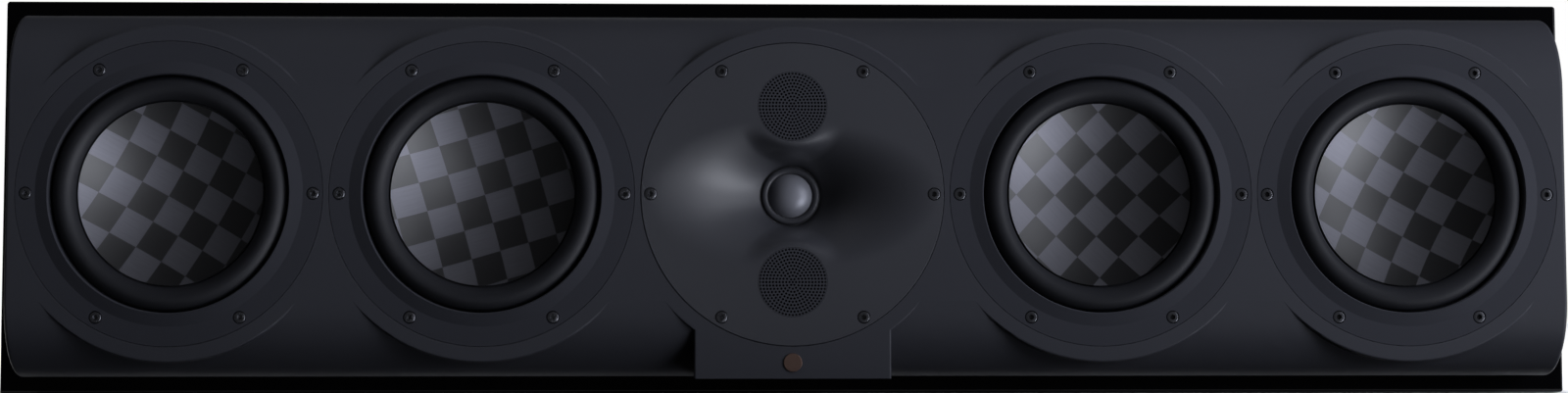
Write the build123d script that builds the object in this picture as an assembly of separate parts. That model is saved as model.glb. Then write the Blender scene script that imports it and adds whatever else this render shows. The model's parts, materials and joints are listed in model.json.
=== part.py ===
from build123d import *
from math import cos, pi, sin, sqrt
import os

# Center channel loudspeaker, in millimetres. X runs along the width, the front faces -Y, +Z is up.
# The origin is the middle of the cabinet's underside.
# The row of drivers sets the baffle, and the baffle sets the cabinet.

# Woofer, from the cone outwards
CONE_DIAMETER = 109.0
CONE_DISH = 14.0
CONE_WALL = 1.2
CONE_RIM_DEPTH = 4.0
CONE_RIM_HEIGHT = 2.6
CONE_RIM_WIDTH = 2.1
SURROUND_SPAN = 16.1
SURROUND_WALL = 1.2
SURROUND_CONE_GAP = 0.9
SURROUND_FRAME_GAP = 1.3
SURROUND_LIP_GAP = 0.3
TRIM_WIDTH = 8.1
TRIM_RISE = 2.0
TRIM_EDGE = 0.6
FLANGE_WIDTH = 11.6
FLANGE_THICKNESS = 6.0
FRAME_LEDGE = 4.0
FRAME_SHOULDER = 5.0
BASKET_DEPTH = 58.0
BASKET_FLOOR = 6.0
BASKET_WALL = 5.5
BASKET_CLEARANCE = 0.6
WINDOW_COUNT = 6
WINDOW_WIDTH = 46.0
WINDOW_ROUND = 5.0
SPIDER_DEPTH = 36.0
SPIDER_SPAN = 31.0
SPIDER_LIP = 6.0
SPIDER_WALL = 0.8
SPIDER_WAVE = 1.8
SPIDER_WAVES = 3
COIL_DIAMETER = 50.0
COIL_WALL = 0.7
COIL_GLUE_GAP = 0.25
WINDING_THICKNESS = 1.1
MAGNET_GAP = 0.5
NECK_ROOM = 7.0
CONE_TRAVEL = 6.0
TOP_PLATE_DIAMETER = 114.0
TOP_PLATE_THICKNESS = 8.0
MAGNET_DIAMETER = 120.0
MAGNET_BORE = 68.0
MAGNET_THICKNESS = 22.0
YOKE_DIAMETER = TOP_PLATE_DIAMETER
YOKE_THICKNESS = 8.0
POLE_VENT_DIAMETER = 14.0
POLE_RISE = 2.0

# Fasteners of the five units
SCREW_COUNT = 6
SCREW_HEAD_DIAMETER = 7.0
SCREW_HEAD_HEIGHT = 3.2
SCREW_SOCKET = 3.0
SCREW_SOCKET_DEPTH = 1.8
SCREW_SHANK_DIAMETER = 4.0
SCREW_LENGTH = 22.0
SCREW_HEAD_ROOM = 0.4
SCREW_SINK = 0.3
SCREW_SHANK_ROOM = 0.25
PILOT_CLEARANCE = 0.05

# Waveguide plate with the tweeter and the two midrange domes
HORN_WIDTH = 159.0
HORN_SHOULDER = 117.0
HORN_DEPTH = 28.0
HORN_FLARE = 2.2
HORN_WALL = 4.5
HORN_LIFT = 0.4
HORN_POINTS = 24
THROAT_DIAMETER = 36.4
PLATE_BODY = 16.0
DOME_DIAMETER = 27.0
DOME_RISE = 6.5
DOME_WALL = 0.8
DOME_ROLL = 4.2
DOME_ROLL_RISE = 1.6
DOME_RIM_GAP = 0.3
DOME_BASE = 1.0
DOME_MOTOR_LENGTH = 34.0
TWEETER_MOTOR_RIM = 7.0
MID_MOTOR_RIM = 2.6
DOME_MOTOR_STEP = 2.5
DOME_MOTOR_POCKET = 6.0
MID_OFFSET = 52.4
GRILLE_DIAMETER = 41.2
GRILLE_THICKNESS = 1.2
GRILLE_SEAT = 1.2
GRILLE_RIM = 1.6
GRILLE_GAP = 0.15
GRILLE_LAND = 2.3
GRILLE_RINGS = 5
GRILLE_HOLE_SHARE = 0.56

# Front baffle
SEAT_GAP = 0.35
SEAT_LEDGE = 14.5
SEAT_WALL = 3.1
DRIVER_COUNT = 5
BOSS_BORDER = 9.35
BOSS_EDGE = 1.2
PEDESTAL_WIDTH = 117.0
BAFFLE_THICKNESS = 50.0
BAFFLE_BORDER = 9.5
BAFFLE_END = 5.55
BAFFLE_EDGE = 2.2
FLAT_HEIGHT = 127.0
ROLL_DEPTH = 34.0
CUTOUT_BEVEL = 12.0
BADGE_DIAMETER = 11.0
BADGE_THICKNESS = 0.8
BADGE_HEIGHT = 9.5

# Cabinet
CABINET_DEPTH = 268.0
RIM_SIDE = 17.9
RIM_TOP = 11.3
BOARD = 22.0
CABINET_EDGE = 2.0
BRACE_THICKNESS = 18.0
BRACE_FRAME = 34.0
BRACE_ROUND = 16.0

# Rear: ports, binding posts
PORT_DIAMETER = 56.0
PORT_LENGTH = 130.0
PORT_WALL = 3.0
PORT_FLARE = 15.0
PORT_FLANGE_WIDTH = 6.0
PORT_FLANGE = 4.0
PORT_GAP = 0.3
POST_SPACING = 38.0
POST_HEIGHT = 62.0
POST_STUD_DIAMETER = 7.0
POST_COLLAR_DIAMETER = 17.0
POST_COLLAR = 4.0
POST_LENGTH = 27.0
POST_BORE_DIAMETER = 4.1
POST_BORE_DEPTH = 20.0
POST_HOLE_GAP = 0.2
KNOB_DIAMETER = 15.0
KNOB_LENGTH = 17.0
KNOB_GAP = 0.3
KNOB_FLUTES = 14
KNOB_FLUTE_RADIUS = 1.1
NUT_WIDTH = 12.0
NUT_THICKNESS = 5.0

# Crossover
BOARD_LENGTH = 230.0
BOARD_WIDTH = 90.0
BOARD_THICKNESS = 2.0
INDUCTOR_DIAMETER = 46.0
INDUCTOR_BORE = 20.0
INDUCTOR_HEIGHT = 24.0
INDUCTOR_PITCH = 56.0
INDUCTOR_COUNT = 4
CAPACITOR_DIAMETER = 20.0
CAPACITOR_LENGTH = 38.0
CAPACITOR_PITCH = 46.0
CAPACITOR_COUNT = 5
CROSSOVER_ROW_GAP = 12.0

# Sizes that follow from the ones above
CONE_RADIUS = CONE_DIAMETER / 2
OPENING_RADIUS = CONE_RADIUS + SURROUND_SPAN
TRIM_RADIUS = OPENING_RADIUS + TRIM_WIDTH
FLANGE_RADIUS = TRIM_RADIUS + FLANGE_WIDTH
SCREW_RADIUS = TRIM_RADIUS + FLANGE_WIDTH / 2
SCREW_SEAT_Z = -SCREW_SINK - SCREW_HEAD_HEIGHT
SEAT_RADIUS = FLANGE_RADIUS + SEAT_GAP
CUTOUT_RADIUS = SEAT_RADIUS - SEAT_LEDGE
PITCH = 2 * SEAT_RADIUS + SEAT_WALL
BOSS_RADIUS = SEAT_RADIUS + BOSS_BORDER
BAFFLE_LENGTH = (DRIVER_COUNT - 1) * PITCH + 2 * (SEAT_RADIUS + BAFFLE_END)
BAFFLE_HEIGHT = 2 * (BOSS_RADIUS + BAFFLE_BORDER)
CABINET_WIDTH = BAFFLE_LENGTH + 2 * RIM_SIDE
CABINET_HEIGHT = BAFFLE_HEIGHT + 2 * RIM_TOP
INNER_WIDTH = CABINET_WIDTH - 2 * BOARD
INNER_HEIGHT = CABINET_HEIGHT - 2 * BOARD
AXIS_HEIGHT = CABINET_HEIGHT / 2
REAR_Y = CABINET_DEPTH / 2
FRONT_Y = -CABINET_DEPTH / 2 - BAFFLE_THICKNESS

# Heights inside a driver, measured from the flat front plane, negative inwards
SEAT_Z = -CONE_RIM_DEPTH - CONE_RIM_HEIGHT
LIP_Z = SEAT_Z - SURROUND_WALL
MOTOR_Z = -BASKET_DEPTH
MAGNET_Z = MOTOR_Z - TOP_PLATE_THICKNESS
YOKE_Z = MAGNET_Z - MAGNET_THICKNESS
COIL_RADIUS = COIL_DIAMETER / 2
FORMER_RADIUS = COIL_RADIUS + COIL_WALL
WINDING_RADIUS = FORMER_RADIUS + WINDING_THICKNESS
WINDING_HEIGHT = TOP_PLATE_THICKNESS + 2 * CONE_TRAVEL
SPIDER_BORE = FORMER_RADIUS + COIL_GLUE_GAP
SPIDER_RADIUS = SPIDER_BORE + SPIDER_SPAN
DISH_RADIUS = (CONE_RADIUS**2 + CONE_DISH**2) / (2 * CONE_DISH)
DISH_CENTRE_Z = -CONE_RIM_DEPTH - CONE_DISH + DISH_RADIUS
THROAT_RADIUS = THROAT_DIAMETER / 2
THROAT_Z = -HORN_DEPTH - DOME_BASE
GRILLE_RADIUS = GRILLE_DIAMETER / 2
MID_BORE = GRILLE_RADIUS - GRILLE_SEAT
HORN_WAIST = 2 * (MID_OFFSET - GRILLE_RADIUS - GRILLE_LAND)


def front(x=0.0, up=0.0):
    """A place on the flat front plane, with local Z pointing out of the front."""
    return Plane(origin=(x, FRONT_Y, AXIS_HEIGHT + up), x_dir=(1, 0, 0), z_dir=(0, -1, 0)).location


def rear(x, height):
    """A place on the rear face, with local Z pointing out of the back."""
    return Plane(origin=(x, REAR_Y, height), x_dir=(-1, 0, 0), z_dir=(0, 1, 0)).location


def turned(outline):
    """A solid of revolution about local Z, from a closed outline given as (radius, height)."""
    return revolve(Plane.XZ * make_face(outline), Axis.Z)


def tube(outer, inner, low, high):
    """A plain ring between two heights."""
    return Pos(0, 0, low) * extrude(Circle(outer) - Circle(inner), high - low)


def disc(radius, low, high):
    """A plain disc between two heights."""
    return Pos(0, 0, low) * extrude(Circle(radius), high - low)


def screw_holes():
    """The counterbored holes of one unit's flange."""
    clear = disc(SCREW_SHANK_DIAMETER / 2 + SCREW_SHANK_ROOM, -FLANGE_THICKNESS, 0)
    pocket = disc(SCREW_HEAD_DIAMETER / 2 + SCREW_HEAD_ROOM, SCREW_SEAT_Z, 0)
    return PolarLocations(SCREW_RADIUS, SCREW_COUNT) * (clear + pocket)


def driver_screw():
    """A socket-head screw, its head seat at the bottom of the flange's counterbore."""
    head = disc(SCREW_HEAD_DIAMETER / 2, SCREW_SEAT_Z, -SCREW_SINK)
    socket = RegularPolygon(SCREW_SOCKET / 2, 6, major_radius=False)
    head -= Pos(0, 0, -SCREW_SINK - SCREW_SOCKET_DEPTH) * extrude(socket, SCREW_SOCKET_DEPTH)
    return head + disc(SCREW_SHANK_DIAMETER / 2, SCREW_SEAT_Z - SCREW_LENGTH, SCREW_SEAT_Z)


def woofer_frame():
    """Cast frame: flange with the raised trim rim, basket with windows, ledges for surround and spider."""
    ledge = OPENING_RADIUS - FRAME_LEDGE
    shoulder = LIP_Z - FRAME_SHOULDER
    floor = MOTOR_Z + BASKET_FLOOR
    spider_seat = SPIDER_RADIUS - SPIDER_LIP
    spider_wall = SPIDER_RADIUS + COIL_GLUE_GAP
    outline = Polyline(
        (FLANGE_RADIUS, -FLANGE_THICKNESS),
        (FLANGE_RADIUS, 0),
        (TRIM_RADIUS, 0),
        (OPENING_RADIUS + TRIM_EDGE, TRIM_RISE),
        (OPENING_RADIUS, TRIM_RISE - TRIM_EDGE),
        (OPENING_RADIUS, LIP_Z),
        (ledge, LIP_Z),
        (ledge, shoulder),
        (spider_wall, -SPIDER_DEPTH + BASKET_WALL),
        (spider_wall, -SPIDER_DEPTH),
        (spider_seat, -SPIDER_DEPTH),
        (spider_seat, floor),
        (WINDING_RADIUS + NECK_ROOM, floor),
        (WINDING_RADIUS + NECK_ROOM, MOTOR_Z),
        (spider_seat + BASKET_WALL, MOTOR_Z),
        (spider_wall + BASKET_WALL, -SPIDER_DEPTH),
        (CUTOUT_RADIUS - BASKET_CLEARANCE, shoulder),
        (CUTOUT_RADIUS - BASKET_CLEARANCE, -FLANGE_THICKNESS),
        close=True,
    )
    window_low = -SPIDER_DEPTH + BASKET_WALL
    window_high = shoulder - BASKET_WALL / 2
    reach = CUTOUT_RADIUS - SPIDER_RADIUS
    window = Box(reach, WINDOW_WIDTH, window_high - window_low)
    window = fillet(window.edges().filter_by(Axis.X), WINDOW_ROUND)
    middle = SPIDER_RADIUS + reach / 2
    windows = PolarLocations(middle, WINDOW_COUNT) * window
    windows = [Pos(0, 0, (window_low + window_high) / 2) * cut for cut in windows]
    return turned(outline) - windows - screw_holes()


def woofer_cone():
    """Dished cone: a shallow bowl with a thickened rim that seats on the surround."""
    back = DISH_RADIUS + CONE_WALL
    rim_in = CONE_RADIUS - CONE_RIM_WIDTH
    back_z = DISH_CENTRE_Z - sqrt(back**2 - rim_in**2)
    half_front = CONE_RADIUS / 2
    half_back = rim_in / 2
    outline = [
        Line((0, DISH_CENTRE_Z - back), (0, DISH_CENTRE_Z - DISH_RADIUS)),
        ThreePointArc(
            (0, DISH_CENTRE_Z - DISH_RADIUS),
            (half_front, DISH_CENTRE_Z - sqrt(DISH_RADIUS**2 - half_front**2)),
            (CONE_RADIUS, -CONE_RIM_DEPTH),
        ),
        Polyline((CONE_RADIUS, -CONE_RIM_DEPTH), (CONE_RADIUS, SEAT_Z), (rim_in, SEAT_Z), (rim_in, back_z)),
        ThreePointArc(
            (rim_in, back_z),
            (half_back, DISH_CENTRE_Z - sqrt(back**2 - half_back**2)),
            (0, DISH_CENTRE_Z - back),
        ),
    ]
    return turned(outline)


def woofer_surround():
    """Half-roll surround with a lip under the cone rim and a lip on the frame ledge."""
    roll_in = CONE_RADIUS + SURROUND_CONE_GAP
    roll_out = OPENING_RADIUS - SURROUND_FRAME_GAP
    crest = (roll_in + roll_out) / 2
    radius = (roll_out - roll_in) / 2
    hollow = radius - SURROUND_WALL
    lip_in = CONE_RADIUS - CONE_RIM_WIDTH
    lip_out = OPENING_RADIUS - SURROUND_LIP_GAP
    outline = [
        Polyline((crest - hollow, SEAT_Z), (crest - hollow, LIP_Z), (lip_in, LIP_Z)),
        Polyline((lip_in, LIP_Z), (lip_in, SEAT_Z), (roll_in, SEAT_Z)),
        ThreePointArc((roll_in, SEAT_Z), (crest, SEAT_Z + radius), (roll_out, SEAT_Z)),
        Polyline((roll_out, SEAT_Z), (lip_out, SEAT_Z), (lip_out, LIP_Z)),
        Polyline((lip_out, LIP_Z), (crest + hollow, LIP_Z), (crest + hollow, SEAT_Z)),
        ThreePointArc((crest + hollow, SEAT_Z), (crest, SEAT_Z + hollow), (crest - hollow, SEAT_Z)),
    ]
    return turned(outline)


def woofer_spider():
    """Corrugated disc from the coil former to its ledge in the frame."""
    flat = SPIDER_RADIUS - SPIDER_LIP
    pitch = (flat - SPIDER_BORE) / SPIDER_WAVES
    top = -SPIDER_DEPTH + SPIDER_WALL
    steps = 4 * SPIDER_WAVES

    def wave(height):
        points = []
        for step in range(steps + 1):
            out = SPIDER_BORE + (flat - SPIDER_BORE) * step / steps
            points.append((out, height + SPIDER_WAVE * sin(2 * pi * (out - SPIDER_BORE) / pitch)))
        return Spline(points)

    outline = [
        wave(top),
        Polyline((flat, top), (SPIDER_RADIUS, top), (SPIDER_RADIUS, -SPIDER_DEPTH), (flat, -SPIDER_DEPTH)),
        wave(-SPIDER_DEPTH),
        Line((SPIDER_BORE, -SPIDER_DEPTH), (SPIDER_BORE, top)),
    ]
    return turned(outline)


def woofer_coil():
    """Voice coil: a former glued under the cone, with its winding in the magnet gap."""
    back = DISH_RADIUS + CONE_WALL
    high = DISH_CENTRE_Z - sqrt(back**2 - COIL_RADIUS**2) - COIL_GLUE_GAP
    middle = MOTOR_Z - TOP_PLATE_THICKNESS / 2
    low = middle - WINDING_HEIGHT / 2
    former = tube(FORMER_RADIUS, COIL_RADIUS, low, high)
    return former + tube(WINDING_RADIUS, FORMER_RADIUS, low, low + WINDING_HEIGHT)


def woofer_top_plate():
    """Steel ring that closes the magnet gap and carries the frame."""
    return tube(TOP_PLATE_DIAMETER / 2, WINDING_RADIUS + MAGNET_GAP, MAGNET_Z, MOTOR_Z)


def woofer_magnet():
    """Ferrite ring with eased edges."""
    ring = tube(MAGNET_DIAMETER / 2, MAGNET_BORE / 2, YOKE_Z, MAGNET_Z)
    rims = ring.edges().filter_by(GeomType.CIRCLE).sort_by(SortBy.RADIUS)[-2:]
    return chamfer(rims, MAGNET_GAP * 2)


def woofer_yoke():
    """Back plate in one piece with the vented pole."""
    plate = disc(YOKE_DIAMETER / 2, YOKE_Z - YOKE_THICKNESS, YOKE_Z)
    rim = plate.edges().filter_by(GeomType.CIRCLE).sort_by(Axis.Z)[0]
    plate = chamfer(rim, YOKE_THICKNESS / 2)
    pole = disc(COIL_RADIUS - MAGNET_GAP, YOKE_Z, MOTOR_Z + POLE_RISE)
    return plate + pole - disc(POLE_VENT_DIAMETER / 2, YOKE_Z - YOKE_THICKNESS, MOTOR_Z + POLE_RISE)


def horn_mouth(angle):
    """Reach of the flare's mouth at an angle from the horizontal: wide, waisted between the two grilles."""
    mean = (HORN_WIDTH + HORN_WAIST) / 4
    shoulder = HORN_SHOULDER / 2
    swing = (HORN_WIDTH - HORN_WAIST) / 4
    return (mean + shoulder) / 2 + swing * cos(2 * angle) + (mean - shoulder) / 2 * cos(4 * angle)


def horn_section(share, wall):
    """Section of the flare, from the round throat at share 0 to the mouth at share 1, grown by a wall."""
    points = []
    for index in range(HORN_POINTS):
        angle = 2 * pi * index / HORN_POINTS
        reach = THROAT_RADIUS + share * (horn_mouth(angle) - THROAT_RADIUS) + wall
        points.append((reach * cos(angle), reach * sin(angle)))
    return make_face(Spline(points, periodic=True))


def horn(wall=0.0, steps=(0.0, 0.12, 0.28, 0.48, 0.72, 1.0, 1.15)):
    """The flare with the straight throat behind it, grown by a wall."""
    sections = []
    for share in steps:
        depth = HORN_DEPTH * max(1 - share, 0) ** HORN_FLARE
        lift = HORN_LIFT if share > 1 else 0
        sections.append(Pos(0, 0, lift - depth) * horn_section(share, wall))
    throat = Pos(0, 0, THROAT_Z) * extrude(horn_section(0.0, wall), DOME_BASE)
    return loft(sections) + throat


def waveguide_plate():
    """Moulded plate: the waisted flare, its neck behind, and the bores and seats of the midrange grilles."""
    plate = disc(FLANGE_RADIUS, -FLANGE_THICKNESS, 0)
    plate += disc(CUTOUT_RADIUS - BASKET_CLEARANCE, -PLATE_BODY, -FLANGE_THICKNESS)
    plate += horn(HORN_WALL, (0.0, 0.12, 0.28))
    plate -= horn()
    for side in (1, -1):
        place = Pos(0, side * MID_OFFSET)
        plate -= place * disc(MID_BORE, -PLATE_BODY, 0)
        plate -= place * disc(GRILLE_RADIUS + GRILLE_GAP, -GRILLE_THICKNESS, 0)
    return plate - screw_holes()


def mid_grille():
    """Perforated disc with rings of holes round a middle one."""
    pitch = (GRILLE_RADIUS - GRILLE_RIM) / (GRILLE_RINGS + GRILLE_HOLE_SHARE / 2)
    holes = [Pos(0, 0)]
    for ring in range(1, GRILLE_RINGS + 1):
        holes += list(PolarLocations(ring * pitch, 6 * ring))
    hole = RegularPolygon(pitch * GRILLE_HOLE_SHARE / 2, 6)
    sheet = Circle(GRILLE_RADIUS) - [place * hole for place in holes]
    return Pos(0, 0, -GRILLE_THICKNESS) * extrude(sheet, GRILLE_THICKNESS)


def dome(base_z, bore):
    """Dome with its roll and glue rim in one piece, seated at the given height in a round bore."""
    rim = bore - DOME_RIM_GAP
    low = base_z + DOME_BASE
    radius = DOME_DIAMETER / 2
    ball = (radius**2 + DOME_RISE**2) / (2 * DOME_RISE)
    centre = low + DOME_RISE - ball
    roll = DOME_ROLL / 2
    inner_edge = radius - DOME_WALL
    inner_ball = ball - DOME_WALL
    inner_z = centre + sqrt(inner_ball**2 - inner_edge**2)
    half = radius / 2
    inner_half = inner_edge / 2
    outline = [
        Line((0, centre + inner_ball), (0, centre + ball)),
        ThreePointArc((0, centre + ball), (half, centre + sqrt(ball**2 - half**2)), (radius, low)),
        ThreePointArc((radius, low), (radius + roll, low + DOME_ROLL_RISE), (radius + DOME_ROLL, low)),
        Polyline((radius + DOME_ROLL, low), (rim, low), (rim, base_z)),
        Polyline((rim, base_z), (inner_edge, base_z), (inner_edge, inner_z)),
        ThreePointArc(
            (inner_edge, inner_z),
            (inner_half, centre + sqrt(inner_ball**2 - inner_half**2)),
            (0, centre + inner_ball),
        ),
    ]
    return turned(outline)


def dome_motor(top_z, radius):
    """Sealed motor of a dome: a can with a pocket for the coil and a stepped rear chamber."""
    pocket = DOME_DIAMETER / 2 - DOME_WALL
    waist = radius - DOME_MOTOR_STEP
    step_z = top_z - DOME_MOTOR_LENGTH / 2
    low = top_z - DOME_MOTOR_LENGTH
    outline = Polyline(
        (0, top_z - DOME_MOTOR_POCKET),
        (pocket, top_z - DOME_MOTOR_POCKET),
        (pocket, top_z),
        (radius, top_z),
        (radius, step_z),
        (waist, step_z),
        (waist, low),
        (0, low),
        close=True,
    )
    return turned(outline)


def driver_seat():
    """What one unit takes out of the baffle: flange recess, cutout with a rear bevel, pilot holes."""
    seat = disc(SEAT_RADIUS, -FLANGE_THICKNESS, 0)
    through = disc(CUTOUT_RADIUS, -BAFFLE_THICKNESS, 0)
    bevel_z = CUTOUT_BEVEL - BAFFLE_THICKNESS
    bevel = Pos(0, 0, -BAFFLE_THICKNESS + CUTOUT_BEVEL / 2) * Cone(
        CUTOUT_RADIUS + CUTOUT_BEVEL, CUTOUT_RADIUS, CUTOUT_BEVEL
    )
    deep = SCREW_SEAT_Z - SCREW_LENGTH - SCREW_SINK
    pilot = disc(SCREW_SHANK_DIAMETER / 2 + PILOT_CLEARANCE, max(deep, bevel_z), -FLANGE_THICKNESS)
    return [seat, through, bevel] + list(PolarLocations(SCREW_RADIUS, SCREW_COUNT) * pilot)


def driver_places():
    """Positions of the units along the width."""
    return [(index - (DRIVER_COUNT - 1) / 2) * PITCH for index in range(DRIVER_COUNT)]


def front_baffle():
    """Rolled board with a round boss at each unit and a pedestal below the middle one."""
    half = BAFFLE_HEIGHT / 2
    flat = FLAT_HEIGHT / 2
    outline = [
        Line((-flat, 0), (flat, 0)),
        EllipticalCenterArc((flat, -ROLL_DEPTH), half - flat, ROLL_DEPTH, 0, arc_size=90),
        Polyline(
            (half, -ROLL_DEPTH), (half, -BAFFLE_THICKNESS), (-half, -BAFFLE_THICKNESS), (-half, -ROLL_DEPTH)
        ),
        EllipticalCenterArc((-flat, -ROLL_DEPTH), half - flat, ROLL_DEPTH, 90, arc_size=90),
    ]
    board = extrude(Plane.YZ * make_face(outline), BAFFLE_LENGTH / 2, both=True)
    ends = board.faces().filter_by(Axis.X)
    front_edges = [edge for edge in ends.edges() if edge.center().Z > -BAFFLE_THICKNESS + BAFFLE_EDGE]
    board = fillet(front_edges, BAFFLE_EDGE)

    boss = disc(BOSS_RADIUS, -BAFFLE_THICKNESS, 0)
    boss = fillet(boss.edges().sort_by(Axis.Z)[-1], BOSS_EDGE)
    block = Pos(0, -half / 2, -BAFFLE_THICKNESS / 2) * Box(PEDESTAL_WIDTH, half, BAFFLE_THICKNESS)
    front_face = block.faces().sort_by(Axis.Z)[-1]
    block = fillet(front_face.edges().filter_by(Axis.Y), BOSS_EDGE)
    length = BAFFLE_LENGTH - 2 * BAFFLE_EDGE
    reach = Pos(0, 0, -BAFFLE_THICKNESS / 2) * Box(length, BAFFLE_HEIGHT, BAFFLE_THICKNESS)
    raised = [Pos(x) * boss & reach for x in driver_places()]
    board = board + raised + block
    for x in driver_places():
        board -= [Pos(x) * cut for cut in driver_seat()]
    return board


def cabinet_shell():
    """Four boards glued to a lacquered tube, with eased outer edges."""
    outer = Box(CABINET_WIDTH, CABINET_DEPTH, CABINET_HEIGHT)
    outer = fillet(outer.edges(), CABINET_EDGE)
    return Pos(0, 0, AXIS_HEIGHT) * (outer - Box(INNER_WIDTH, CABINET_DEPTH, INNER_HEIGHT))


def port_places():
    """The ports stand behind the outer woofers."""
    return {"left": driver_places()[0], "right": driver_places()[-1]}


def post_places():
    """The binding posts stand beside the middle of the back."""
    return {"positive": POST_SPACING / 2, "negative": -POST_SPACING / 2}


def rear_panel():
    """Back board between the shell's boards, with seats for the ports and holes for the posts."""
    panel = Pos(0, REAR_Y - BOARD / 2, AXIS_HEIGHT) * Box(INNER_WIDTH, BOARD, INNER_HEIGHT)
    mouth = PORT_DIAMETER / 2 + PORT_FLARE
    for x in port_places().values():
        panel -= rear(x, AXIS_HEIGHT) * disc(mouth + PORT_GAP, -BOARD, 0)
        panel -= rear(x, AXIS_HEIGHT) * disc(mouth + PORT_FLANGE_WIDTH + PORT_GAP, -PORT_FLANGE, 0)
    for x in post_places().values():
        panel -= rear(x, POST_HEIGHT) * disc(POST_STUD_DIAMETER / 2 + POST_HOLE_GAP, -BOARD, 0)
    return panel


def port():
    """Bass-reflex port: flared mouth with a flange set flush in the back, straight tube inside."""
    bore = PORT_DIAMETER / 2
    mouth = bore + PORT_FLARE
    curve = PORT_FLARE
    outer = curve - PORT_WALL
    outline = [
        EllipticalCenterArc((mouth, -curve), curve, curve, 90, arc_size=90),
        Polyline((bore, -curve), (bore, -PORT_LENGTH), (bore + PORT_WALL, -PORT_LENGTH)),
        Line((bore + PORT_WALL, -PORT_LENGTH), (bore + PORT_WALL, -curve)),
        EllipticalCenterArc((mouth, -curve), outer, outer, 90, arc_size=90),
        Polyline((mouth, -PORT_WALL), (mouth, -PORT_FLANGE), (mouth + PORT_FLANGE_WIDTH, -PORT_FLANGE)),
        Polyline((mouth + PORT_FLANGE_WIDTH, -PORT_FLANGE), (mouth + PORT_FLANGE_WIDTH, 0), (mouth, 0)),
    ]
    return turned(outline)


def binding_post():
    """Stud with an insulating collar on the back, drilled for a banana plug."""
    stud = POST_STUD_DIAMETER / 2
    post = disc(stud, -BOARD - NUT_THICKNESS * 2, POST_LENGTH)
    post += disc(POST_COLLAR_DIAMETER / 2, 0, POST_COLLAR)
    return post - disc(POST_BORE_DIAMETER / 2, POST_LENGTH - POST_BORE_DEPTH, POST_LENGTH)


def post_knob():
    """Fluted clamp ring that turns on the stud."""
    section = Circle(KNOB_DIAMETER / 2) - Circle(POST_STUD_DIAMETER / 2 + KNOB_GAP)
    section -= PolarLocations(KNOB_DIAMETER / 2, KNOB_FLUTES) * Circle(KNOB_FLUTE_RADIUS)
    return Pos(0, 0, POST_COLLAR + KNOB_GAP) * extrude(section, KNOB_LENGTH)


def post_nut():
    """Hexagon nut on the stud, against the inside of the back."""
    section = RegularPolygon(NUT_WIDTH / 2, 6, major_radius=False)
    section -= Circle(POST_STUD_DIAMETER / 2 + POST_HOLE_GAP)
    return Pos(0, 0, -BOARD - NUT_THICKNESS) * extrude(section, NUT_THICKNESS)


def window_brace():
    """Board across the inside between two woofers, with a rounded window."""
    depth = CABINET_DEPTH - BOARD
    middle_y = -BOARD / 2
    board = Pos(0, middle_y, AXIS_HEIGHT) * Box(BRACE_THICKNESS, depth, INNER_HEIGHT)
    window = Box(BRACE_THICKNESS, depth - 2 * BRACE_FRAME, INNER_HEIGHT - 2 * BRACE_FRAME)
    window = fillet(window.edges().filter_by(Axis.X), BRACE_ROUND)
    return board - Pos(0, middle_y, AXIS_HEIGHT) * window


def crossover_y():
    """Middle of the crossover board, against the back."""
    return REAR_Y - BOARD - BOARD_WIDTH / 2


def crossover_board():
    """Circuit board on the cabinet floor."""
    board = Box(BOARD_LENGTH, BOARD_WIDTH, BOARD_THICKNESS)
    return Pos(0, crossover_y(), BOARD + BOARD_THICKNESS / 2) * board


def crossover_inductors():
    """Air-core coils standing on the board."""
    row_y = crossover_y() - CROSSOVER_ROW_GAP / 2 - CAPACITOR_DIAMETER / 2
    coil = tube(INDUCTOR_DIAMETER / 2, INDUCTOR_BORE / 2, 0, INDUCTOR_HEIGHT)
    spots = GridLocations(INDUCTOR_PITCH, 0, INDUCTOR_COUNT, 1)
    return [Pos(0, row_y, BOARD + BOARD_THICKNESS) * spot * coil for spot in spots]


def crossover_capacitors():
    """Film capacitors lying on the board."""
    row_y = crossover_y() + INDUCTOR_DIAMETER / 2 - CAPACITOR_DIAMETER / 2 + CROSSOVER_ROW_GAP / 2
    can = Rot(0, 90, 0) * Cylinder(CAPACITOR_DIAMETER / 2, CAPACITOR_LENGTH)
    height = BOARD + BOARD_THICKNESS + CAPACITOR_DIAMETER / 2
    spots = GridLocations(CAPACITOR_PITCH, 0, CAPACITOR_COUNT, 1)
    return [Pos(0, row_y, height) * spot * can for spot in spots]


def badge():
    """Blank round badge on the pedestal."""
    button = disc(BADGE_DIAMETER / 2, 0, BADGE_THICKNESS)
    return fillet(button.edges().sort_by(Axis.Z)[-1], BADGE_THICKNESS / 2)


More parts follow.
